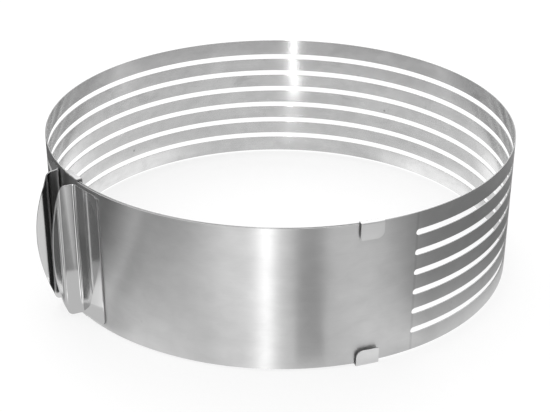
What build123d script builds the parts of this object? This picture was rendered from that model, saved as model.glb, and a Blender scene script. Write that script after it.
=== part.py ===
"""Adjustable cake ring with slots for slicing a cake into even layers.

One stainless strip is rolled into a ring and laps over itself along the plain front. The outer end's ears
hook inwards over the inner leaf, and the inner end's ears hook outwards over the outer leaf. A folded grip
is welded near the outer end, and another where the slots end. Parting or squeezing the grips slides one leaf
along the other, which changes the diameter. The strip bends a little everywhere as it does so, so it is drawn
as short rigid links that meet on upright hinge lines.

Frame: +Z up, the ring's axis on Z, the front of the lap at -Y, and the lowest ears at Z = 0.
Lengths are millimetres, angles are degrees, and an azimuth runs from the front (-Y) towards +X.
"""

import math
import os

from build123d import *

# Ring and strip, at the setting that is drawn
ring_diameter = 240.0
band_height = 72.0
band_thickness = 0.5
leaf_gap = 0.5
lap_length = 165.6
lap_start = -56.9

# Slots between the cake's layers
layer_count = 7
slot_height = 3.0
outer_leaf_length = 183.0
slot_lead = 6.0
slot_tail = 1.2

# Links that let the strip bend
outer_leaf_links = 5
slotted_links = 15
inner_leaf_links = 5
hinge_gap = 0.06
foot_to_hinge = 6.0

# Ears that are folded from the strip's two ends
outer_ear_width = 12.0
inner_ear_width = 11.0
ear_drop = 7.5
ear_clearance = 0.3
ear_standoff = 1.3
ear_bend = 0.7
ear_inside_bend = 0.2
ear_large_corner = 3.5
ear_small_corner = 1.0

# Grips
grip_thickness = 0.8
grip_edge_inset = 1.5
outer_end_to_grip = 10.8
outer_end_to_inner_grip = 8.3
outer_foot_width = 18.0
inner_foot_width = 12.0
foot_corner = 3.0
foot_seat = 0.02
foot_to_slots = 2.4
wing_depth = 8.7
lip_depth = 5.8
wing_lean = 17.5
lip_flare = 16.7
wing_end_depth = 6.2
wing_corner = 3.0
fold_radius = 2.4
crease_radius = 3.5

# How far a cutter reaches past the sheet, and how near two points count as one
cutter_overrun = 1.0
same_point = 1e-6

ring_radius = ring_diameter / 2
circumference = math.pi * ring_diameter
lap_pitch = band_thickness + leaf_gap
band_bottom = ear_clearance + band_thickness
band_top = band_bottom + band_height
band_middle = (band_bottom + band_top) / 2
layer_height = band_height / layer_count

# Places along the strip, measured from its outer end
outer_foot_end = outer_end_to_grip + outer_foot_width
slots_start = outer_leaf_length
inner_fold = circumference - outer_end_to_inner_grip
inner_foot_start = inner_fold - inner_foot_width
slots_end = inner_foot_start - foot_to_slots
inner_end = circumference + lap_length


def azimuth(place):
    """Azimuth of a place along the strip."""
    return lap_start + math.degrees(place / ring_radius)


def outside_radius(place):
    """Outer radius of the strip at a place: it winds inwards by one leaf and its gap in each turn."""
    return ring_radius - lap_pitch * place / circumference


def divide(start, end, count):
    """Ends of equal links between two places."""
    step = (end - start) / count
    return [(start + step * i, start + step * (i + 1)) for i in range(count)]


def sheet(outside, thickness, start, end, low, high):
    """Rolled sheet between two azimuths and two heights."""
    outer = CenterArc((0, 0), outside, start - 90, end - start)
    inner = CenterArc((0, 0), outside - thickness, start - 90, end - start)
    ends = [Line(outer @ 0, inner @ 0), Line(outer @ 1, inner @ 1)]
    profile = make_face([outer, inner, *ends])
    return Pos(0, 0, low) * extrude(profile, high - low, dir=(0, 0, 1))


def link_limits(place_from, place_to):
    """Azimuths of a link's two ends, each half a hinge gap short."""
    half_gap = hinge_gap / 2
    return azimuth(place_from + half_gap), azimuth(place_to - half_gap)


def plain_link(place_from, place_to):
    """A link of full height."""
    start, end = link_limits(place_from, place_to)
    outside = outside_radius((place_from + place_to) / 2)
    return sheet(outside, band_thickness, start, end, band_bottom, band_top)


def slot_levels():
    """Middle height of each slot."""
    return [band_bottom + layer_height * i for i in range(1, layer_count)]


def layer_strips(place_from, place_to):
    """A link in mid-slot: one separate strip for each layer of cake."""
    start, end = link_limits(place_from, place_to)
    outside = outside_radius((place_from + place_to) / 2)
    half_slot = slot_height / 2
    lows = [band_bottom] + [level + half_slot for level in slot_levels()]
    highs = [level - half_slot for level in slot_levels()] + [band_top]
    return [sheet(outside, band_thickness, start, end, low, high) for low, high in zip(lows, highs)]


def slot_cutters(cut_from, cut_to, round_end, outside):
    """Slots between two places, each with a rounded end at one of them."""
    start, end = azimuth(cut_from), azimuth(cut_to)
    half_slot = slot_height / 2
    depth = band_thickness + 2 * cutter_overrun
    mid_sheet = outside - band_thickness / 2
    round_cut = Rot(90, 0, 0) * Cylinder(half_slot, depth)
    cutters = []
    for level in slot_levels():
        low, high = level - half_slot, level + half_slot
        cutters.append(sheet(outside + cutter_overrun, depth, start, end, low, high))
        cutters.append(Rot(0, 0, azimuth(round_end)) * Pos(0, -mid_sheet, level) * round_cut)
    return cutters


def first_slotted_link(place_from, place_to):
    """The link where the slots start, joined by a post before them."""
    outside = outside_radius((place_from + place_to) / 2)
    round_end = slots_start + slot_height / 2
    cutters = slot_cutters(round_end, place_to + cutter_overrun, round_end, outside)
    return plain_link(place_from, place_to) - cutters


def last_slotted_link(place_from, place_to):
    """The link where the slots end, joined by a post after them."""
    outside = outside_radius((place_from + place_to) / 2)
    round_end = slots_end - slot_height / 2
    cutters = slot_cutters(place_from - cutter_overrun, round_end, round_end, outside)
    return plain_link(place_from, place_to) - cutters


def ear(outside, place_from, width, outwards, at_top, large_corner_first):
    """An ear folded over the edge of the other leaf, from the leaf whose outer radius is given."""
    reach = leaf_gap + band_thickness + ear_standoff
    if outwards:
        far, near, side = outside - band_thickness, outside, 1
    else:
        far, near, side = outside, outside - band_thickness, -1
    flap_near = near + side * reach
    flap_far = flap_near + side * band_thickness
    rim = band_height / 2
    under, over = rim + ear_clearance, rim + ear_clearance + band_thickness
    tip = rim - ear_drop
    bend_outside = [(far, over), (flap_far, over)]
    bend_inside = [(flap_near, under), (near, under)]
    flap_tip = [(flap_far, tip), (flap_near, tip)]
    outline = [(far, rim), *bend_outside, *flap_tip, *bend_inside, (near, rim)]
    section = make_face(Polyline(*outline, close=True))
    section = fillet(corners_at(section, bend_outside), ear_bend)
    section = fillet(corners_at(section, bend_inside), ear_inside_bend)
    folded = revolve(Plane.XZ * section, Axis.Z, math.degrees(width / ring_radius))
    tip_edges = [edge for edge in folded.edges() if abs(edge.center().Z - tip) < same_point]
    across = sorted(tip_edges, key=lambda edge: edge.length)[:2]
    first, last = sorted((edge.center() for edge in across), key=lambda at: math.atan2(at.Y, at.X))
    corners = [(first, ear_large_corner), (last, ear_small_corner)]
    if not large_corner_first:
        corners = [(first, ear_small_corner), (last, ear_large_corner)]
    for at, radius in corners:
        nearest = min(folded.edges(), key=lambda edge: (edge.center() - at).length)
        folded = fillet(nearest, radius)
    if not at_top:
        folded = mirror(folded, Plane.XY)
    return Rot(0, 0, azimuth(place_from) - 90) * Pos(0, 0, band_middle) * folded


def corners_at(face, points):
    """The vertices of a face that lie at the given points."""
    found = []
    for vertex in face.vertices():
        if any(math.dist((vertex.X, vertex.Y), point) < same_point for point in points):
            found.append(vertex)
    return found


def outer_end_link(place_from, place_to):
    """The strip's outer end, with an ear folded inwards at the top and at the bottom."""
    outside = outside_radius((place_from + place_to) / 2)
    place = place_from + hinge_gap / 2
    top = ear(outside, place, outer_ear_width, False, True, True)
    bottom = ear(outside, place, outer_ear_width, False, False, False)
    return plain_link(place_from, place_to) + top + bottom


def inner_end_link(place_from, place_to):
    """The strip's inner end, with an ear folded outwards at the top and at the bottom."""
    outside = outside_radius((place_from + place_to) / 2)
    place = place_to - hinge_gap / 2 - inner_ear_width
    top = ear(outside, place, inner_ear_width, True, True, False)
    bottom = ear(outside, place, inner_ear_width, True, False, True)
    return plain_link(place_from, place_to) + top + bottom


def grip(foot_width, foot_middle, outside, foot_side):
    """A folded grip: a flat foot against the band, and a bowed wing with a flared lip to pinch.

    It is drawn at the front of the ring, facing -Y, and turned to its place. foot_side is +1 where the foot
    lies on the +X side of the fold and -1 where it lies on the other.
    """
    lean, flare = math.radians(wing_lean), math.radians(lip_flare)
    fold = (-foot_side * foot_width / 2, 0)
    crease = (fold[0] - foot_side * wing_depth * math.sin(lean), -wing_depth * math.cos(lean))
    lip = (crease[0] + foot_side * lip_depth * math.sin(flare), crease[1] - lip_depth * math.cos(flare))
    foot_tip = (foot_side * foot_width / 2, 0)
    path = FilletPolyline(foot_tip, fold, crease, lip, radius=[fold_radius, crease_radius])
    height = band_height - 2 * grip_edge_inset
    folded = extrude(trace(path, grip_thickness), height / 2, both=True)
    ends = (-wing_end_depth, height / 2), (-wing_end_depth, -height / 2)
    behind = (grip_thickness, height / 2), (grip_thickness, -height / 2)
    bow = ThreePointArc(ends[0], (lip[1], 0), ends[1])
    rest = Polyline(ends[0], behind[0], behind[1], ends[1])
    outline = make_face([bow, rest])
    outline = fillet(corners_at(outline, ends), wing_corner)
    blank = extrude(Plane.YZ * outline, foot_width + wing_depth + lip_depth, both=True)
    folded = folded & blank
    foot_end = folded.edges().filter_by(Axis.Y).sort_by(lambda edge: -foot_side * edge.center().X)[:2]
    folded = fillet(foot_end, foot_corner)
    seat = outside + foot_seat + grip_thickness / 2
    return Rot(0, 0, azimuth(foot_middle)) * Pos(0, -seat, band_middle) * folded


def save(name, solids):
    """Writes one named piece."""
    shape = solids[0] if len(solids) == 1 else Compound(children=solids)
    shape.label = name
    export_step(shape, os.path.join("parts", name + ".step"))


os.makedirs("parts", exist_ok=True)

first_link_end = outer_foot_end + foot_to_hinge
slotted_start = slots_start - slot_lead
inner_leaf_start = slots_end + slot_tail
outer_links = [(0.0, first_link_end), *divide(first_link_end, slotted_start, outer_leaf_links - 1)]
band_links = divide(slotted_start, inner_leaf_start, slotted_links)
inner_links = divide(inner_leaf_start, inner_end, inner_leaf_links)

save("outer_leaf_1", outer_end_link(*outer_links[0]).solids())
for number, link in enumerate(outer_links[1:], 2):
    save(f"outer_leaf_{number}", plain_link(*link).solids())

save("slotted_band_01", first_slotted_link(*band_links[0]).solids())
for number, link in enumerate(band_links[1:-1], 2):
    save(f"slotted_band_{number:02d}", layer_strips(*link))
save(f"slotted_band_{slotted_links:02d}", last_slotted_link(*band_links[-1]).solids())

for number, link in enumerate(inner_links[:-1], 1):
    save(f"inner_leaf_{number}", plain_link(*link).solids())
save(f"inner_leaf_{inner_leaf_links}", inner_end_link(*inner_links[-1]).solids())

outer_foot_middle = (outer_end_to_grip + outer_foot_end) / 2
outer_seat = outside_radius(sum(outer_links[0]) / 2)
save("outer_grip", grip(outer_foot_width, outer_foot_middle, outer_seat, 1).solids())

inner_foot_middle = (inner_foot_start + inner_fold) / 2
inner_seat = outside_radius(sum(inner_links[0]) / 2)
save("inner_grip", grip(inner_foot_width, inner_foot_middle, inner_seat, -1).solids())
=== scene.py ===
"""Looks of the adjustable cake ring: a slotted strip of satin steel rolled over itself, with two grips.

The strip is cut flat, slit, folded and thickened, and then rolled round the ring, as the real one is made.
In the flat, x runs along the strip from its outer end, y goes into the ring from the strip's outer face, and
z is up. Lengths are metres and angles are radians, but the studio's cards are placed by azimuths in degrees.
An azimuth runs from the front (-Y) towards +X.
"""

import math

import bmesh
import bpy
from mathutils import Matrix, Vector


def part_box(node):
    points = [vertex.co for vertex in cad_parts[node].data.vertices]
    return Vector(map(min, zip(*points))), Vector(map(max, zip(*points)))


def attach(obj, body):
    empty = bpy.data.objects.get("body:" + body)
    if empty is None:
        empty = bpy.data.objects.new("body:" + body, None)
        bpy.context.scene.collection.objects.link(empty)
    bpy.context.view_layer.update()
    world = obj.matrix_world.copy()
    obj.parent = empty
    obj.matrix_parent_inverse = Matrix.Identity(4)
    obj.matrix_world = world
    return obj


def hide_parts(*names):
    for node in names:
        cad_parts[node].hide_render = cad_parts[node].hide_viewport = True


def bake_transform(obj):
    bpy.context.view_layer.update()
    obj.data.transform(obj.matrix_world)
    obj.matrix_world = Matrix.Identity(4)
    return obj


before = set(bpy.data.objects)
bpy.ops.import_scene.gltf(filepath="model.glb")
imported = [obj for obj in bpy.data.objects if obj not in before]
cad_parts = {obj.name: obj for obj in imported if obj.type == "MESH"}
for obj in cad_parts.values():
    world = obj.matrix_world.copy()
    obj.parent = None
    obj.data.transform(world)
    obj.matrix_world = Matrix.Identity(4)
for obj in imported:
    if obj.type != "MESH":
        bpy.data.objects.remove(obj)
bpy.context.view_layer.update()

MM = 0.001

# Ring and strip, at the setting that is drawn
ring_radius = 120.0 * MM
band_thickness = 0.5 * MM
leaf_gap = 0.5 * MM
lap_length = 165.6 * MM
lap_start = math.radians(-56.9)
band_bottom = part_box("outer_leaf_3")[0].z
band_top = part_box("outer_leaf_3")[1].z
band_height = band_top - band_bottom
band_middle = (band_bottom + band_top) / 2
circumference = 2 * math.pi * ring_radius
lap_pitch = band_thickness + leaf_gap

# Slots between the cake's layers
layer_count = 7
layer_height = band_height / layer_count
slot_height = 3.0 * MM
slot_half = slot_height / 2
slots_start = 183.0 * MM
slot_lead = 6.0 * MM
slot_tail = 1.2 * MM

# Links that let the strip bend
outer_leaf_links = 5
slotted_links = 15
inner_leaf_links = 5
foot_to_hinge = 6.0 * MM

# Ears folded from the strip's two ends
end_gap = 0.03 * MM
outer_ear_width = 12.0 * MM
inner_ear_width = 11.0 * MM
ear_drop = 7.5 * MM
ear_clearance = 0.3 * MM
ear_standoff = 1.3 * MM
ear_bend = 0.7 * MM
ear_inside_bend = 0.2 * MM
ear_large_corner = 3.5 * MM
ear_small_corner = 1.0 * MM

# Grips
grip_thickness = 0.8 * MM
grip_edge_inset = 1.5 * MM
outer_end_to_grip = 10.8 * MM
outer_end_to_inner_grip = 8.3 * MM
outer_foot_width = 18.0 * MM
inner_foot_width = 12.0 * MM
foot_corner = 3.0 * MM
foot_seat = 0.02 * MM
foot_to_slots = 2.4 * MM
wing_depth = 8.7 * MM
lip_depth = 5.8 * MM
wing_lean = math.radians(17.5)
lip_flare = math.radians(16.7)
wing_end_depth = 6.2 * MM
wing_corner = 3.0 * MM
fold_radius = 2.4 * MM
crease_radius = 3.5 * MM
grip_half_height = band_height / 2 - grip_edge_inset
grip_back = grip_thickness / 2

# Places along the strip, measured from its outer end
outer_foot_end = outer_end_to_grip + outer_foot_width
inner_fold = circumference - outer_end_to_inner_grip
inner_foot_start = inner_fold - inner_foot_width
slots_end = inner_foot_start - foot_to_slots
inner_end = circumference + lap_length
first_hinge = outer_foot_end + foot_to_hinge
slotted_start = slots_start - slot_lead
inner_leaf_start = slots_end + slot_tail

# Fineness of the drawing
column_width = 0.6 * MM
slot_end_cuts = 6
fold_steps = 6
corner_cuts = 8
bow_cuts = 36
edge_rounding = 0.08 * MM
grip_edge_rounding = 0.16 * MM
rounding_steps = 2
sharp_angle = math.radians(20)
rim_angle = math.radians(60)
tiny = 1e-6

# Which of a piece's materials its faces take
outer_face = 0
inner_face = 1
cut_edge = 2
ear_face = 3

# Marks on the steel, and a dark line of painted shade across the strip where the slots start, for the kink
# there
broad_cloud_share = 0.55
coarse_streak_share = 0.6
speck_cells_per_mm = 0.055
streak_roughness = 0.25
scuff_roughness = 0.5
scuff_depth_mm = 0.004
score_place = slots_start + slot_half / 3
score_core_mm = 0.2
score_fade_mm = 1.0
grain_turn = 0.25

# Camera, fitted to the rims of the ring
camera_elevation = math.radians(26.1)
camera_distance = 650.9 * MM
camera_roll = math.radians(0.43)
camera_lens = 80.86
camera_sensor = 36.0
camera_shift = (-0.00853, -0.04475)

# Floor, and a surround that brightens towards the back, the top and the left
floor_reach = 5.0
floor_tone = 0.30
floor_glow = 0.74
front_level = 0.25
left_share = 0.7
dimmest_at = -0.3
brightest_at = 0.7

# Lamps: a strip and a panel that stand at the front, and a soft box overhead
lamp_distance = 1.2
strip_lamp_azimuth = math.radians(-5.2)
strip_lamp_size = (0.045, 0.38)
strip_lamp_middle = 0.50
strip_lamp_radiance = 46.0
panel_lamp_azimuth = math.radians(-18)
panel_lamp_size = (0.4, 1.2)
panel_lamp_radiance = 0.7
over_lamp_behind = 0.7
over_lamp_height = 0.9
over_lamp_size = (1.4, 0.8)
over_lamp_radiance = 1.4

# Cards that the steel mirrors, lying in layers just above the floor or standing on it
card_lift = 0.4 * MM
card_columns = 24
flag_layer = 4
wing_layer = 5
ring_middle = (0, 0)
screen_distance = 0.6
screen_height = 0.45
inside_ramp_height = 0.065

# Where the hollow back wall gathers the camera's view
back_wall_focus = (0, 0.0541)

# Where the grips and the gap between them are, and which way the cards before them stand
grips_place = (-0.1, -0.08)
grips_azimuth = 27
flag_distance = 0.04
flag_height = 0.07
lip_screen_place = (-0.115, -0.09)
wing_fan_centre = (-0.149, 0.0103)
gap_place = (-0.0998, -0.0676)
gap_azimuth = 34
gap_flag_height = 0.073


def divide(start, end, count):
    """Ends of equal links between two places."""
    step = (end - start) / count
    return [(start + step * i, start + step * (i + 1)) for i in range(count)]


def named_links():
    """The strip's links from its outer end to its inner end: name, start and end."""
    outer = [(0.0, first_hinge), *divide(first_hinge, slotted_start, outer_leaf_links - 1)]
    links = [(f"outer_leaf_{i}", *link) for i, link in enumerate(outer, 1)]
    slotted = divide(slotted_start, inner_leaf_start, slotted_links)
    links += [(f"slotted_band_{i:02d}", *link) for i, link in enumerate(slotted, 1)]
    inner = divide(inner_leaf_start, inner_end, inner_leaf_links)
    links += [(f"inner_leaf_{i}", *link) for i, link in enumerate(inner, 1)]
    return links


def strip_azimuth(along):
    """Azimuth of a place along the strip."""
    return lap_start + along / ring_radius


def outside_radius(along):
    """Outer radius of the strip at a place: it winds inwards by one leaf and its gap in each turn."""
    return ring_radius - lap_pitch * along / circumference


def on_ring(along, depth, height):
    """Where a point of the flat strip lies once it is rolled."""
    turn = strip_azimuth(along)
    radius = outside_radius(along) - depth
    return Vector((radius * math.sin(turn), -radius * math.cos(turn), height))


def slot_opening(along):
    """Half the slot's height at a place: full between its round ends, and nothing beyond them."""
    inside = min(along - slots_start, slots_end - along)
    if inside <= 0:
        return 0.0
    if inside >= slot_half:
        return slot_half
    return math.sqrt(slot_half**2 - (slot_half - inside) ** 2)


def only(kind, geometry):
    """The vertices, edges or faces among an operator's results."""
    return [item for item in geometry if isinstance(item, kind)]


def cut_across(bm, along):
    """Scores the flat strip across, so that something can start or end there."""
    geometry = [*bm.verts, *bm.edges, *bm.faces]
    bmesh.ops.bisect_plane(bm, geom=geometry, dist=tiny, plane_co=(along, 0, 0), plane_no=(1, 0, 0))


def trim(bm, faces, point, normal):
    """Cuts off what lies beyond a plane, on the given faces only."""
    edges = {edge for face in faces for edge in face.edges}
    verts = {vert for face in faces for vert in face.verts}
    bmesh.ops.bisect_plane(
        bm, geom=[*verts, *edges, *faces], dist=tiny, plane_co=point, plane_no=normal, clear_outer=True)


def round_corner(bm, chosen, corner, outwards_a, outwards_b, radius):
    """Rounds a corner of the chosen faces with a fan of cuts between its two outward directions."""
    centre = corner - (outwards_a + outwards_b) * radius / (1 + outwards_a.dot(outwards_b))
    for i in range(corner_cuts):
        normal = outwards_a.slerp(outwards_b, (i + 0.5) / corner_cuts)
        trim(bm, [face for face in bm.faces if chosen(face)], centre + normal * radius, normal)


def draw_on(bm, edges, step):
    """Draws a sheet on from its free edges, straight, and gives its new free edges."""
    made = bmesh.ops.extrude_edge_only(bm, edges=edges)["geom"]
    verts = only(bmesh.types.BMVert, made)
    bmesh.ops.translate(bm, verts=verts, vec=step)
    return [edge for edge in only(bmesh.types.BMEdge, made) if all(vert in verts for vert in edge.verts)]


def bend_on(bm, edges, centre, axis, turn):
    """Draws a sheet on from its free edges round a bend, and gives its new free edges."""
    verts = list({vert for edge in edges for vert in edge.verts})
    spun = bmesh.ops.spin(
        bm, geom=[*verts, *edges], cent=centre, axis=axis, dvec=(0, 0, 0), angle=turn, steps=fold_steps,
        use_duplicate=False)
    return only(bmesh.types.BMEdge, spun["geom_last"])


def flat_blank(start, end):
    """A flat stretch of strip, as its outer face only, with a row for each layer of cake."""
    bm = bmesh.new()
    stretch = Matrix.Diagonal(((end - start) / 2, band_height / 2, 1, 1))
    upright = Matrix.Rotation(math.pi / 2, 4, "X")
    place = Matrix.Translation(((start + end) / 2, 0, band_middle))
    columns = round((end - start) / column_width)
    bmesh.ops.create_grid(
        bm, x_segments=columns, y_segments=layer_count, size=1, matrix=place @ upright @ stretch)
    return bm


def open_slots(bm, start, end):
    """Slits the flat strip between its layers, and spreads the slits into slots with round ends."""
    for i in range(slot_end_cuts + 1):
        from_tip = slot_half * (1 - math.cos(math.pi / 2 * i / slot_end_cuts))
        for along in (slots_start + from_tip, slots_end - from_tip):
            if start < along < end:
                cut_across(bm, along)
    for i in range(1, layer_count):
        level = band_bottom + layer_height * i
        slit = []
        for edge in bm.edges:
            middle = (edge.verts[0].co + edge.verts[1].co) / 2
            at_level = all(abs(vert.co.z - level) < tiny for vert in edge.verts)
            if at_level and slot_opening(middle.x) > 0:
                slit.append(edge)
        bmesh.ops.split_edges(bm, edges=slit)
        for vert in [vert for vert in bm.verts if abs(vert.co.z - level) < tiny]:
            above = sum(face.calc_center_median().z - level for face in vert.link_faces)
            vert.co.z += math.copysign(slot_opening(vert.co.x), above)


def fold_ear(bm, start, end, at_top, inwards, large_corner_first):
    """Folds an ear from the strip's rim, over the edge of the other leaf and down its far side."""
    up = 1 if at_top else -1
    into = 1 if inwards else -1
    rim = band_top if at_top else band_bottom
    radius = ear_bend if inwards else ear_inside_bend
    lift = ear_clearance + band_thickness - ear_bend
    web = leaf_gap + band_thickness + ear_standoff - 2 * ear_inside_bend
    bend_height = rim + up * lift
    turn = -up * into * math.pi / 2
    across = Vector((1, 0, 0))
    for along in (start, end):
        cut_across(bm, along)
    edges = []
    for edge in bm.edges:
        if all(abs(v.co.z - rim) < tiny and start - tiny < v.co.x < end + tiny for v in edge.verts):
            edges.append(edge)
    edges = draw_on(bm, edges, (0, 0, up * lift))
    edges = bend_on(bm, edges, (0, into * radius, bend_height), across, turn)
    edges = draw_on(bm, edges, (0, into * web, 0))
    edges = bend_on(bm, edges, (0, into * (radius + web), bend_height), across, turn)
    draw_on(bm, edges, (0, 0, -up * (lift + ear_drop)))

    flap_depth = into * (2 * radius + web)
    tip = rim - up * ear_drop

    def on_flap(face):
        near_rim = all(up * (vert.co.z - band_middle) > 0 for vert in face.verts)
        return near_rim and all(abs(vert.co.y - flap_depth) < tiny for vert in face.verts)

    corner_radii = [ear_large_corner, ear_small_corner]
    if not large_corner_first:
        corner_radii.reverse()
    for along, outwards, corner_radius in ((start, -1, corner_radii[0]), (end, 1, corner_radii[1])):
        corner = Vector((along, flap_depth, tip))
        round_corner(bm, on_flap, corner, across * outwards, Vector((0, 0, -up)), corner_radius)


def face_outwards(bm, is_wall):
    """Turns all faces of one folded sheet the same way, with its wall looking out of the ring."""
    bmesh.ops.recalc_face_normals(bm, faces=bm.faces)
    wall = next(face for face in bm.faces if is_wall(face))
    if wall.normal.y > 0:
        bmesh.ops.reverse_faces(bm, faces=bm.faces)


def thicken(bm, thickness, rounding, seams):
    """Gives a folded sheet its thickness behind the drawn face, and breaks its cut edges except at seams."""
    outer = set(bm.faces)
    made = bmesh.ops.solidify(bm, geom=bm.faces[:], thickness=thickness)["geom"]
    inner = set(only(bmesh.types.BMFace, made))
    for face in bm.faces:
        if face in outer:
            face.material_index = outer_face
        elif face in inner:
            face.material_index = inner_face
        else:
            face.material_index = cut_edge
    broken = []
    for edge in bm.edges:
        at_seam = any(all(abs(vert.co.x - seam) < tiny for vert in edge.verts) for seam in seams)
        if not at_seam and edge.calc_face_angle() > rim_angle:
            broken.append(edge)
    bmesh.ops.bevel(
        bm, geom=broken, offset=rounding, offset_type="OFFSET", segments=rounding_steps, profile=0.5,
        affect="EDGES", material=-1)


def mark_ears(bm):
    """Gives both faces of the folded ears their own finish, whose tone is painted lighter than the band's:
    painted light, for the light that the ears catch as they lean out.
    """
    for face in bm.faces:
        in_wall = -tiny < face.calc_center_median().y < band_thickness + tiny
        if face.material_index != cut_edge and not in_wall:
            face.material_index = ear_face


def lay_map(bm):
    """Maps the flat strip in metres, along it and up it, with its rims laid out beside it."""
    strip_map = bm.loops.layers.uv.new("strip")
    for face in bm.faces:
        for loop in face.loops:
            along, depth, height = loop.vert.co
            loop[strip_map].uv = (along + depth, height - depth)


def finish_piece(bm, name, materials):
    """Makes the finished object, smooth except at its corners."""
    for face in bm.faces:
        face.smooth = True
    for edge in bm.edges:
        edge.smooth = edge.calc_face_angle() < sharp_angle
    mesh = bpy.data.meshes.new(name)
    bm.to_mesh(mesh)
    bm.free()
    for material in materials:
        mesh.materials.append(material)
    piece = bpy.data.objects.new(name, mesh)
    bpy.context.scene.collection.objects.link(piece)
    return piece


def band_piece(name, start, end, materials):
    """One stretch of the strip, from one seam to the next, with the ears of an end that it reaches."""
    bm = flat_blank(start, end)
    open_slots(bm, start, end)
    seams = [start, end]
    if start < first_hinge / 2:
        seams.remove(start)
        for at_top in (True, False):
            fold_ear(
                bm, start, start + outer_ear_width, at_top, inwards=True, large_corner_first=at_top)
    if end > inner_end - inner_ear_width:
        seams.remove(end)
        for at_top in (True, False):
            fold_ear(
                bm, end - inner_ear_width, end, at_top, inwards=False, large_corner_first=not at_top)
    if len(seams) < 2:
        face_outwards(bm, lambda face: all(abs(vert.co.y) < tiny for vert in face.verts))
    thicken(bm, band_thickness, edge_rounding, seams)
    mark_ears(bm)
    lay_map(bm)
    for vert in bm.verts:
        vert.co = on_ring(*vert.co)
    bm.normal_update()
    return finish_piece(bm, name, materials)


def make_band(materials):
    """The whole strip: a piece over each hinge line, and a stiff one at each end, attached to its end link.
    """
    links = named_links()
    middles = [(start + end) / 2 for _, start, end in links]
    first, last = links[0][0], links[-1][0]
    piece = band_piece("outer_leaf_end", end_gap, middles[0], materials)
    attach(piece, first)
    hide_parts(first)
    piece = band_piece("inner_leaf_end", middles[-1], inner_end - end_gap, materials)
    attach(piece, last)
    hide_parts(last)
    for i in range(len(links) - 1):
        before, after = links[i][0], links[i + 1][0]
        piece = band_piece(f"{before}_onwards", middles[i], middles[i + 1], materials)
        start = on_ring(middles[i], band_thickness / 2, band_middle)
        end = on_ring(middles[i + 1], band_thickness / 2, band_middle)
        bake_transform(piece)
        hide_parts(before, after)


def folded_grip(foot_width, foot_side):
    """The grip's sheet as its back face: the foot's underside, the fold, the wing, the crease and the lip."""
    upwards = Vector((0, 0, 1))
    fold_turn = math.pi / 2 - wing_lean
    crease_turn = wing_lean + lip_flare
    fold_reach = fold_radius * math.tan(fold_turn / 2)
    crease_reach = crease_radius * math.tan(crease_turn / 2)
    bends = [(fold_turn, fold_radius + grip_back), (crease_turn, crease_radius + grip_back)]
    runs = [foot_width - fold_reach, wing_depth - fold_reach - crease_reach, lip_depth - crease_reach]

    bm = bmesh.new()
    tip = foot_side * foot_width / 2
    ends = [bm.verts.new((tip, grip_back, up * grip_half_height)) for up in (-1, 1)]
    edges = [bm.edges.new(ends)]
    heading = Vector((-foot_side, 0, 0))
    edges = draw_on(bm, edges, heading * runs[0])
    for (turn, radius), run in zip(bends, runs[1:]):
        sideways = Matrix.Rotation(foot_side * math.pi / 2, 3, "Z") @ heading
        edges = bend_on(bm, edges, edges[0].verts[0].co + sideways * radius, upwards, foot_side * turn)
        heading = Matrix.Rotation(foot_side * turn, 3, "Z") @ heading
        edges = draw_on(bm, edges, heading * run)
    return bm


def cut_grip(bm, foot_width, foot_side):
    """Cuts the wing's free edge to a bow, and rounds the corners of the wing and the foot."""
    upwards = Vector((0, 0, 1))
    lip_tip = wing_depth * math.cos(wing_lean) + lip_depth * math.cos(lip_flare)
    rise = lip_tip - wing_end_depth
    bow_radius = (grip_half_height**2 + rise**2) / (2 * rise)
    half_bow = math.asin(grip_half_height / bow_radius)
    bow_centre = Vector((0, bow_radius - lip_tip, 0))
    for i in range(bow_cuts):
        turn = half_bow * (2 * (i + 0.5) / bow_cuts - 1)
        normal = Vector((0, -math.cos(turn), math.sin(turn)))
        trim(bm, bm.faces[:], bow_centre + normal * bow_radius, normal)

    def on_wing(face):
        return face.calc_center_median().y < -fold_radius

    def on_foot(face):
        return abs(face.calc_center_median().y - grip_back) < tiny

    for up in (-1, 1):
        corner = Vector((0, -wing_end_depth, up * grip_half_height))
        bow_end = Vector((0, -math.cos(half_bow), up * math.sin(half_bow)))
        round_corner(bm, on_wing, corner, bow_end, upwards * up, wing_corner)
        corner = Vector((foot_side * foot_width / 2, grip_back, up * grip_half_height))
        round_corner(bm, on_foot, corner, Vector((foot_side, 0, 0)), upwards * up, foot_corner)


def make_grip(name, foot_width, foot_middle, foot_side, body, materials):
    """A grip on its place, with its foot curved to the band under it."""
    bm = folded_grip(foot_width, foot_side)
    cut_grip(bm, foot_width, foot_side)
    face_outwards(bm, lambda face: all(vert.co.y > 0 for vert in face.verts))
    bmesh.ops.reverse_faces(bm, faces=bm.faces)
    thicken(bm, grip_thickness, grip_edge_rounding, [])
    lay_map(bm)
    seat = outside_radius(foot_middle)
    for vert in bm.verts:
        off_middle = max(-foot_width / 2, min(foot_width / 2, vert.co.x))
        vert.co.y += off_middle**2 / (2 * seat)
    away = seat + foot_seat + grip_back
    turn = Matrix.Rotation(strip_azimuth(foot_middle), 4, "Z")
    bmesh.ops.transform(bm, matrix=turn @ Matrix.Translation((0, -away, band_middle)), verts=bm.verts)
    bm.normal_update()
    piece = finish_piece(bm, name, materials)
    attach(piece, body)
    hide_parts(name.removesuffix("_folded"))


def make_grips(materials):
    """The outer grip near the strip's outer end, and the inner one, turned about, where the slots end."""
    outer_middle = (outer_end_to_grip + outer_foot_end) / 2
    make_grip("outer_grip_folded", outer_foot_width, outer_middle, 1, "outer_leaf_1", materials)
    inner_middle = (inner_foot_start + inner_fold) / 2
    make_grip("inner_grip_folded", inner_foot_width, inner_middle, -1, "inner_leaf_1", materials)


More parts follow.
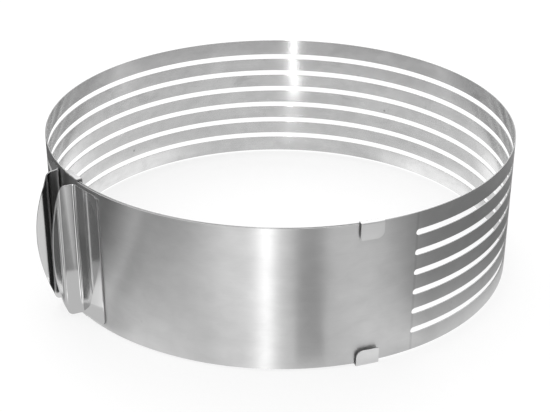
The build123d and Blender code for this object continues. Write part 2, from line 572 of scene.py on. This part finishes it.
def make_camera():
    """A view of the ring's front from above."""
    data = bpy.data.cameras.new("camera")
    data.lens = camera_lens
    data.sensor_width = camera_sensor
    data.shift_x, data.shift_y = camera_shift
    camera = bpy.data.objects.new("camera", data)
    bpy.context.scene.collection.objects.link(camera)
    aim = Matrix.Translation((0, 0, band_middle))
    tilt = Matrix.Rotation(math.pi / 2 - camera_elevation, 4, "X")
    back = Matrix.Translation((0, 0, camera_distance))
    camera.matrix_world = aim @ tilt @ back @ Matrix.Rotation(camera_roll, 4, "Z")
    bpy.context.scene.camera = camera


def add_node(tree, kind, inputs=None, **settings):
    """A node with its settings, and with each input set to a value or joined to another's output."""
    made = tree.nodes.new(kind)
    for name, value in settings.items():
        setattr(made, name, value)
    for key, value in (inputs or {}).items():
        if isinstance(value, bpy.types.NodeSocket):
            tree.links.new(value, made.inputs[key])
        else:
            made.inputs[key].default_value = value
    return made


def math_node(tree, operation, *values):
    """The output of a Math node on one or two values."""
    return add_node(tree, "ShaderNodeMath", dict(enumerate(values)), operation=operation).outputs[0]


def ramp(tree, value, low, high):
    """0 below the low value, 1 above the high one, and smooth between them."""
    inputs = {"Value": value, "From Min": low, "From Max": high}
    return add_node(tree, "ShaderNodeMapRange", inputs, interpolation_type="SMOOTHSTEP").outputs[0]


def stretched_noise(tree, place, along, up, turn=0.0, detail=2.0, distortion=0.0):
    """Noise from 0 to 1 with marks of about the given size in millimetres along the sheet and up it."""
    stretch = {"Vector": place, "Rotation": (0, 0, turn), "Scale": (1 / along, 1 / up, 1)}
    mapped = add_node(tree, "ShaderNodeMapping", stretch).outputs[0]
    grain = {"Vector": mapped, "Scale": 1.0, "Detail": detail, "Distortion": distortion}
    return add_node(tree, "ShaderNodeTexNoise", grain).outputs[0]


def mixed(tree, first, second, share):
    """The first pattern in the given share, and the second in the rest."""
    first_part = math_node(tree, "MULTIPLY", first, share)
    second_part = math_node(tree, "MULTIPLY", second, 1 - share)
    return math_node(tree, "ADD", first_part, second_part)


def sheet_patterns(tree, place):
    """The marks of rolling, handling and washing on sheet steel, and the painted shade of the kink where the
    slots start, each as a pattern from 0 to 1.
    """
    broad = stretched_noise(tree, place, along=42, up=30, detail=3, distortion=0.6)
    small = stretched_noise(tree, place, along=9, up=6, detail=4, distortion=0.4)
    coarse = stretched_noise(tree, place, along=70, up=0.5)
    fine = stretched_noise(tree, place, along=26, up=0.14)
    cells = add_node(tree, "ShaderNodeTexVoronoi", {"Vector": place, "Scale": speck_cells_per_mm}).outputs
    dots = math_node(tree, "SUBTRACT", 1.0, ramp(tree, cells["Distance"], low=0.015, high=0.06))
    chosen = ramp(tree, cells["Color"], low=0.62, high=0.66)
    stains = stretched_noise(tree, place, along=24, up=17, turn=0.5, detail=3, distortion=1.4)
    one_way = stretched_noise(tree, place, along=30, up=0.16, turn=0.35, detail=1)
    one_way = ramp(tree, one_way, low=0.72, high=0.78)
    other_way = stretched_noise(tree, place, along=22, up=0.13, turn=-0.8, detail=1)
    other_way = ramp(tree, other_way, low=0.74, high=0.80)
    along = add_node(tree, "ShaderNodeSeparateXYZ", {0: place}).outputs["X"]
    # A line of painted shade across the strip where the slots start, for the kink there
    from_score = math_node(tree, "ABSOLUTE", math_node(tree, "SUBTRACT", along, score_place / MM))
    beside_score = ramp(tree, from_score, score_core_mm, score_fade_mm)
    return {
        "Clouds": mixed(tree, broad, small, broad_cloud_share),
        "Streaks": mixed(tree, coarse, fine, coarse_streak_share),
        "Specks": math_node(tree, "MULTIPLY", dots, chosen),
        "Smudges": ramp(tree, stains, low=0.55, high=0.78),
        "Scratches": math_node(tree, "MAXIMUM", one_way, other_way),
        "Twist": stretched_noise(tree, place, along=45, up=layer_height / MM, detail=0),
        "Score": math_node(tree, "SUBTRACT", 1.0, beside_score),
    }


def make_sheet_marks():
    """The marks on the steel and the painted shade of the kink as a group, which each finish takes in its own
    amounts.
    """
    tree = bpy.data.node_groups.new("sheet_marks", "ShaderNodeTree")
    tree.interface.new_socket("Place", in_out="INPUT", socket_type="NodeSocketVector")
    amounts = (
        "Tone", "Roughness", "Clouds", "Streaks", "Specks", "Smudges", "Scratches", "Twist", "Score")
    for name in amounts:
        tree.interface.new_socket(name, in_out="INPUT", socket_type="NodeSocketFloat")
    for name in ("Marked Tone", "Marked Roughness", "Height"):
        tree.interface.new_socket(name, in_out="OUTPUT", socket_type="NodeSocketFloat")
    given = tree.nodes.new("NodeGroupInput").outputs
    patterns = sheet_patterns(tree, given["Place"])

    def measured(name):
        """A pattern in the amount that the finish asks for."""
        return math_node(tree, "MULTIPLY", patterns[name], given[name])

    def centred(name, amount):
        """A pattern's swing to both sides of its middle, in the given amount."""
        return math_node(tree, "MULTIPLY", math_node(tree, "SUBTRACT", patterns[name], 0.5), amount)

    lighter = math_node(tree, "ADD", centred("Clouds", given["Clouds"]), centred("Streaks", given["Streaks"]))
    # Specks and the painted shade of the kink darken the tone
    darker = math_node(tree, "ADD", measured("Specks"), measured("Score"))
    share = math_node(tree, "SUBTRACT", math_node(tree, "ADD", 1.0, lighter), darker)
    tone = math_node(tree, "MULTIPLY", given["Tone"], share)
    scuffs = measured("Scratches")
    grain = centred("Streaks", math_node(tree, "MULTIPLY", given["Streaks"], streak_roughness))
    haze = math_node(tree, "ADD", measured("Smudges"), grain)
    haze = math_node(tree, "ADD", haze, math_node(tree, "MULTIPLY", scuffs, scuff_roughness))
    roughness = math_node(tree, "ADD", given["Roughness"], haze)
    scuff_depth = math_node(tree, "MULTIPLY", scuffs, scuff_depth_mm)
    height = math_node(tree, "SUBTRACT", measured("Twist"), scuff_depth)
    results = {"Marked Tone": tone, "Marked Roughness": roughness, "Height": height}
    add_node(tree, "NodeGroupOutput", results)
    return tree


def marked_steel(name, marks, anisotropy, **amounts):
    """Steel with the shared marks in its own amounts, and its grain along the sheet."""
    material = bpy.data.materials.new(name)
    material.use_nodes = True
    tree = material.node_tree
    strip_map = add_node(tree, "ShaderNodeUVMap", uv_map="strip").outputs[0]
    in_mm = {0: strip_map, "Scale": 1 / MM}
    place = add_node(tree, "ShaderNodeVectorMath", in_mm, operation="SCALE").outputs[0]
    group = add_node(tree, "ShaderNodeGroup", node_tree=marks)
    tree.links.new(place, group.inputs["Place"])
    for amount, value in amounts.items():
        group.inputs[amount.capitalize()].default_value = value
    relief = {"Height": group.outputs["Height"], "Strength": 1.0, "Distance": MM}
    bump = add_node(tree, "ShaderNodeBump", relief)
    shader = tree.nodes["Principled BSDF"]
    shader.inputs["Metallic"].default_value = 1
    tree.links.new(group.outputs["Marked Tone"], shader.inputs["Base Color"])
    tree.links.new(group.outputs["Marked Roughness"], shader.inputs["Roughness"])
    tree.links.new(bump.outputs[0], shader.inputs["Normal"])
    if anisotropy > 0:
        tangent = add_node(tree, "ShaderNodeTangent", direction_type="UV_MAP", uv_map="strip")
        tree.links.new(tangent.outputs[0], shader.inputs["Tangent"])
        shader.inputs["Anisotropic"].default_value = anisotropy
        shader.inputs["Anisotropic Rotation"].default_value = grain_turn
    return material


def stage_piece(name, bm, material, glossy_only):
    """A floor or card of the studio, which isn't part of the ring."""
    mesh = bpy.data.meshes.new(name)
    bm.to_mesh(mesh)
    bm.free()
    mesh.materials.append(material)
    piece = bpy.data.objects.new(name, mesh)
    bpy.context.scene.collection.objects.link(piece)
    if glossy_only:
        piece.visible_camera = False
        piece.visible_diffuse = False
        piece.visible_shadow = False


def make_floor():
    """A white floor that takes a soft shadow, and that the steel mirrors as plain white."""
    bm = bmesh.new()
    bmesh.ops.create_grid(bm, x_segments=1, y_segments=1, size=floor_reach)
    material = bpy.data.materials.new("white_floor")
    material.use_nodes = True
    tree = material.node_tree
    tree.nodes.remove(tree.nodes["Principled BSDF"])
    diffuse = add_node(tree, "ShaderNodeBsdfDiffuse", {"Color": (floor_tone, floor_tone, floor_tone, 1)})
    glow = add_node(tree, "ShaderNodeEmission", {"Strength": floor_glow})
    both = add_node(tree, "ShaderNodeAddShader", {0: diffuse.outputs[0], 1: glow.outputs[0]})
    mirrored = add_node(tree, "ShaderNodeLightPath").outputs["Is Glossy Ray"]
    white = add_node(tree, "ShaderNodeEmission", {"Strength": 1.0})
    shown = add_node(tree, "ShaderNodeMixShader", {0: mirrored, 1: both.outputs[0], 2: white.outputs[0]})
    tree.links.new(shown.outputs[0], tree.nodes["Material Output"].inputs[0])
    stage_piece("floor", bm, material, glossy_only=False)


def mirrored_azimuth(azimuth):
    """Where the ring's wall at an azimuth mirrors the camera's view to."""
    camera_away = camera_distance * math.cos(camera_elevation)
    to_right = -ring_radius * math.sin(azimuth)
    to_front = camera_away - ring_radius * math.cos(azimuth)
    return 2 * azimuth - math.atan2(to_right, to_front)


def beside_wall(wall_from, wall_to, near, far, layer=1):
    """Places on a lying card that the wall mirrors between two azimuths, at distances from the wall."""

    def place(across, onwards):
        wall = math.radians(wall_from + (wall_to - wall_from) * across)
        away = near + (far - near) * onwards
        heading = mirrored_azimuth(wall)
        to_right = ring_radius * math.sin(wall) + away * math.sin(heading)
        to_front = ring_radius * math.cos(wall) + away * math.cos(heading)
        return to_right, -to_front, layer * card_lift

    return place


def fanned_round(centre, azimuth_from, azimuth_to, near, far, low, high):
    """Places on a card that fans out round a centre, from a near and low end to a far and high one."""

    def place(across, onwards):
        azimuth = math.radians(azimuth_from + (azimuth_to - azimuth_from) * across)
        away = near + (far - near) * onwards
        height = low + (high - low) * onwards
        return centre[0] + away * math.sin(azimuth), centre[1] - away * math.cos(azimuth), height

    return place


def lying_round(centre, azimuth_from, azimuth_to, near, far, layer):
    """Places on a lying card that fans out round a centre."""
    height = layer * card_lift
    return fanned_round(centre, azimuth_from, azimuth_to, near, far, height, height)


def standing_round(azimuth_from, azimuth_to):
    """Places on a curved screen that stands round the ring."""
    return fanned_round(
        ring_middle, azimuth_from, azimuth_to, screen_distance, screen_distance, 0, screen_height)


def standing_before(centre, azimuth, away, start, end, high):
    """Places on a flat card that stands before a centre, from one place sideways to another.

    Drawn from right to left, its front looks back at the centre.
    """
    turn = math.radians(azimuth)
    ahead = Vector((math.sin(turn), -math.cos(turn), 0))
    sideways = Vector((math.cos(turn), math.sin(turn), 0))
    foot = Vector((*centre, 0)) + ahead * away

    def place(across, onwards):
        return foot + sideways * (start + (end - start) * across) + Vector((0, 0, high * onwards))

    return place


def card_paint(name, tone, soft_sides, soft_ends, one_sided):
    """A plain glowing tone that fades out at the card's edges, and leaves a one-sided card's back clear."""
    material = bpy.data.materials.new(name)
    material.use_nodes = True
    tree = material.node_tree
    tree.nodes.remove(tree.nodes["Principled BSDF"])
    card_map = add_node(tree, "ShaderNodeUVMap", uv_map="card").outputs[0]
    shares = add_node(tree, "ShaderNodeSeparateXYZ", {0: card_map}).outputs
    mask = 1.0
    for share, soft in ((shares["X"], soft_sides), (shares["Y"], soft_ends)):
        to_edge = math_node(tree, "MINIMUM", share, math_node(tree, "SUBTRACT", 1.0, share))
        mask = math_node(tree, "MULTIPLY", mask, ramp(tree, to_edge, 0, soft))
    if one_sided:
        behind = add_node(tree, "ShaderNodeNewGeometry").outputs["Backfacing"]
        mask = math_node(tree, "MULTIPLY", mask, math_node(tree, "SUBTRACT", 1.0, behind))
    clear = add_node(tree, "ShaderNodeBsdfTransparent")
    glow = add_node(tree, "ShaderNodeEmission", {"Color": (tone, tone, tone, 1)})
    both = add_node(tree, "ShaderNodeMixShader", {0: mask, 1: clear.outputs[0], 2: glow.outputs[0]})
    tree.links.new(both.outputs[0], tree.nodes["Material Output"].inputs[0])
    return material


def make_card(name, place, tone, soft_sides, soft_ends, one_sided=False):
    """A card that shows only in the steel, and whose edges fade over shares of its width and depth."""
    bm = bmesh.new()
    bmesh.ops.create_grid(bm, x_segments=card_columns, y_segments=1, size=0.5)
    bmesh.ops.translate(bm, verts=bm.verts, vec=(0.5, 0.5, 0))
    card_map = bm.loops.layers.uv.new("card")
    for face in bm.faces:
        for loop in face.loops:
            loop[card_map].uv = loop.vert.co.xy
    for vert in bm.verts:
        vert.co = place(vert.co.x, vert.co.y)
    material = card_paint(name, tone, soft_sides, soft_ends, one_sided)
    stage_piece(name, bm, material, glossy_only=True)


def make_wall_cards():
    """Cards that the ring's wall mirrors: on the floor beside it, standing round it, and inside it."""
    # Greys on the floor outside, and strips of light close to the wall
    place = beside_wall(3, 10.5, near=0.004, far=1.2)
    make_card("narrow_card", place, tone=0.48, soft_sides=0.2, soft_ends=0.01)
    place = beside_wall(18, 82, near=0.012, far=0.4, layer=2)
    make_card("right_card", place, tone=0.06, soft_sides=0.25, soft_ends=0.15)
    place = beside_wall(-62, -6, near=0.065, far=1.2)
    make_card("left_card", place, tone=0.14, soft_sides=0.32, soft_ends=0.015)
    place = beside_wall(-47, -26, near=0.002, far=0.06, layer=2)
    make_card("left_strip", place, tone=2.1, soft_sides=0.42, soft_ends=0.3)
    place = beside_wall(-84, -44, near=0.03, far=1.2, layer=3)
    make_card("side_card", place, tone=0.2, soft_sides=0.07, soft_ends=0.03)
    place = beside_wall(12, 36, near=0.003, far=0.035, layer=3)
    make_card("right_strip", place, tone=1.4, soft_sides=0.3, soft_ends=0.3)

    # Screens at both sides
    make_card("right_screen", standing_round(55, 160), tone=0.42, soft_sides=0.2, soft_ends=0.02)
    make_card("left_screen", standing_round(-165, -60), tone=0.06, soft_sides=0.12, soft_ends=0.02)

    # Light inside the ring: on the floor at both sides, and on a ramp that rises towards the front and is
    # drawn from right to left, so that its front looks at the back wall
    place = beside_wall(84, 116, near=0.025, far=0.1)
    make_card("right_glow", place, tone=1.7, soft_sides=0.35, soft_ends=0.35)
    place = beside_wall(-118, -84, near=0.015, far=0.1)
    make_card("left_glow", place, tone=1.5, soft_sides=0.35, soft_ends=0.3)
    place = fanned_round(
        back_wall_focus, -6.1, -7.4, near=0.012, far=0.115, low=card_lift, high=inside_ramp_height)
    make_card("inside_ramp", place, tone=11.0, soft_sides=0.25, soft_ends=0.03, one_sided=True)


def make_grip_cards():
    """Cards that the grips mirror: lying and standing before them, and standing in the gap between them."""
    place = lying_round(grips_place, -38, 1, near=0.004, far=0.085, layer=flag_layer)
    make_card("left_flag_floor", place, tone=0.26, soft_sides=0.15, soft_ends=0.05)
    place = standing_before(
        grips_place, grips_azimuth, flag_distance, start=-0.0325, end=-0.08, high=flag_height)
    make_card("left_flag", place, tone=0.33, soft_sides=0.1, soft_ends=0.001, one_sided=True)
    place = lying_round(grips_place, 16, 46, near=0.016, far=0.0435, layer=flag_layer)
    make_card("right_flag_floor", place, tone=0.3, soft_sides=0.3, soft_ends=0.02)
    place = lying_round(wing_fan_centre, 27.3, 33.7, near=0.098, far=0.15, layer=wing_layer)
    make_card("wing_floor", place, tone=0.8, soft_sides=0.1, soft_ends=0.05)
    place = lying_round(grips_place, 2, 15, near=0.02, far=0.2, layer=flag_layer)
    make_card("crease_glow", place, tone=1.7, soft_sides=0.2, soft_ends=0.1)
    place = standing_before(
        grips_place, grips_azimuth, flag_distance, start=0.0125, end=-0.004, high=flag_height)
    make_card("right_flag", place, tone=0.3, soft_sides=0.22, soft_ends=0.001, one_sided=True)
    place = standing_before(
        lip_screen_place, azimuth=0, away=0, start=0.007, end=-0.007, high=flag_height)
    make_card("lip_screen", place, tone=1.0, soft_sides=0.1, soft_ends=0.001, one_sided=True)
    place = standing_before(
        gap_place, gap_azimuth, away=0, start=-0.001, end=-0.0135, high=gap_flag_height)
    make_card("gap_flag", place, tone=0.02, soft_sides=0.05, soft_ends=0.001, one_sided=True)


def make_surround():
    """A surround that lights the ring most from the back, the top and the left, and that shows as white."""
    world = bpy.data.worlds.new("studio")
    bpy.context.scene.world = world
    world.use_nodes = True
    tree = world.node_tree
    direction = add_node(tree, "ShaderNodeTexCoord").outputs["Generated"]
    parts = add_node(tree, "ShaderNodeSeparateXYZ", {0: direction}).outputs
    lit_side = math_node(tree, "ADD", parts["Y"], parts["Z"])
    lit_side = math_node(tree, "SUBTRACT", lit_side, math_node(tree, "MULTIPLY", parts["X"], left_share))
    bright = ramp(tree, lit_side, dimmest_at, brightest_at)
    level = math_node(tree, "ADD", front_level, math_node(tree, "MULTIPLY", bright, 1 - front_level))
    seen = add_node(tree, "ShaderNodeLightPath").outputs["Is Camera Ray"]
    level = math_node(tree, "MAXIMUM", level, seen)
    background = tree.nodes["Background"]
    tree.links.new(level, background.inputs["Strength"])
    background.inputs["Color"].default_value = (1, 1, 1, 1)


def make_lamp(name, size, radiance, place):
    """A rectangular soft box of the given brightness, out of the camera's sight."""
    data = bpy.data.lights.new(name, "AREA")
    data.shape = "RECTANGLE"
    data.size, data.size_y = size
    data.energy = radiance * math.pi * size[0] * size[1]
    lamp = bpy.data.objects.new(name, data)
    bpy.context.scene.collection.objects.link(lamp)
    lamp.matrix_world = place
    lamp.visible_camera = False


def make_front_lamp(name, azimuth, middle, size, radiance):
    """A lamp that stands upright at the front and shines level towards the ring's axis."""
    turn = Matrix.Rotation(azimuth, 4, "Z")
    upright = Matrix.Rotation(math.pi / 2, 4, "X")
    make_lamp(name, size, radiance, turn @ Matrix.Translation((0, -lamp_distance, middle)) @ upright)


def make_lamps():
    """The strip and the panel at the front, and the soft box overhead, tilted to the ring's middle."""
    make_front_lamp(
        "strip_lamp", strip_lamp_azimuth, strip_lamp_middle, strip_lamp_size, strip_lamp_radiance)
    make_front_lamp(
        "panel_lamp", panel_lamp_azimuth, panel_lamp_size[1] / 2, panel_lamp_size, panel_lamp_radiance)
    overhead = Matrix.Translation((0, over_lamp_behind, over_lamp_height))
    tilt = Matrix.Rotation(-math.atan2(over_lamp_behind, over_lamp_height), 4, "X")
    make_lamp("over_lamp", over_lamp_size, over_lamp_radiance, overhead @ tilt)


marks = make_sheet_marks()
# The outside takes the painted shade of the kink where the slots start
satin_outside = marked_steel(
    "satin_outside", marks, anisotropy=1.0, tone=0.69, roughness=0.39, clouds=0.4, streaks=0.08, specks=0.1,
    smudges=0.03, scratches=0.03, score=0.12)
bright_inside = marked_steel(
    "bright_inside", marks, anisotropy=1.0, tone=0.52, roughness=0.18, clouds=0.6, streaks=0.15, specks=0.4,
    smudges=0.1, twist=0.15)
sheared_edge = marked_steel("sheared_edge", marks, anisotropy=0.0, tone=0.42, roughness=0.32, streaks=0.2)
# The ears' tone is painted lighter than the band's: painted light, for the light that they catch as they lean
# out
ear_painted_lighter = marked_steel(
    "ear_painted_lighter", marks, anisotropy=1.0, tone=0.78, roughness=0.36, clouds=0.2, streaks=0.08, smudges=0.03)
polished_grip = marked_steel(
    "polished_grip", marks, anisotropy=0.0, tone=0.57, roughness=0.09, clouds=0.05, smudges=0.08,
    scratches=0.12)
make_band([satin_outside, bright_inside, sheared_edge, ear_painted_lighter])
make_grips([polished_grip, polished_grip, sheared_edge])
make_camera()
make_floor()
make_wall_cards()
make_grip_cards()
make_surround()
make_lamps()
bpy.context.scene.view_settings.view_transform = "Standard"
